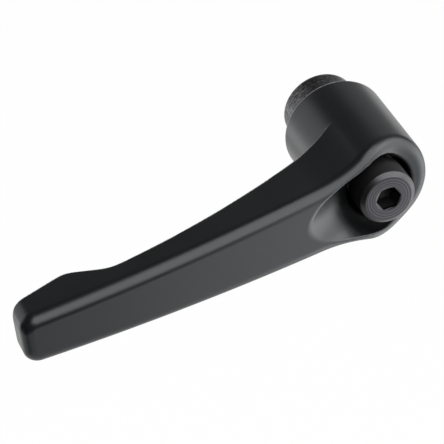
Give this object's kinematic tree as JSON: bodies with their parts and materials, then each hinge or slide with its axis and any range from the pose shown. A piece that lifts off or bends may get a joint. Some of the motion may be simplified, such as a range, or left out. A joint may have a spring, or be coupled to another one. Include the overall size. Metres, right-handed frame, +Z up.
{
  "type": "adjustable clamping lever",
  "caption": "Black die-cast clamping lever on a threaded steel insert; it lifts against a spring to free its teeth, turns to a new angle and drops back to clamp.",
  "frame": {"origin": "centre of the threaded insert's bottom face, at the mouth of its thread", "axes": "+Z up the hub axis from the thread's mouth to the screw head, +X along the arm to its tip, Y across the arm"},
  "size_m": [0.0768, 0.0186, 0.0403],
  "materials": {
    "lever": "semi-gloss black powder coat on zinc die casting",
    "threaded_insert": "turned and blackened steel",
    "retaining_screw": "blackened steel with turning marks",
    "return_spring": "drawn spring wire"
  },
  "bodies": {
    "base": {"threaded_insert": "threaded_insert", "retaining_screw": "retaining_screw"},
    "spring": {"return_spring": "return_spring"},
    "lever": {"lever": "lever"}
  },
  "joints": [
    {"name": "index_turn", "type": "hinge", "parent": "base", "child": "spring", "pos_m": [0, 0, 0.0215], "axis": [0, 0, 1], "continuous": true},
    {"name": "lift", "type": "slide", "parent": "spring", "child": "lever", "axis": [0, 0, 1], "range_m": [0, 0.004], "stiffness_N_per_m": 1500, "springref_m": -0.004, "deforming": ["return_spring"]}
  ]
}
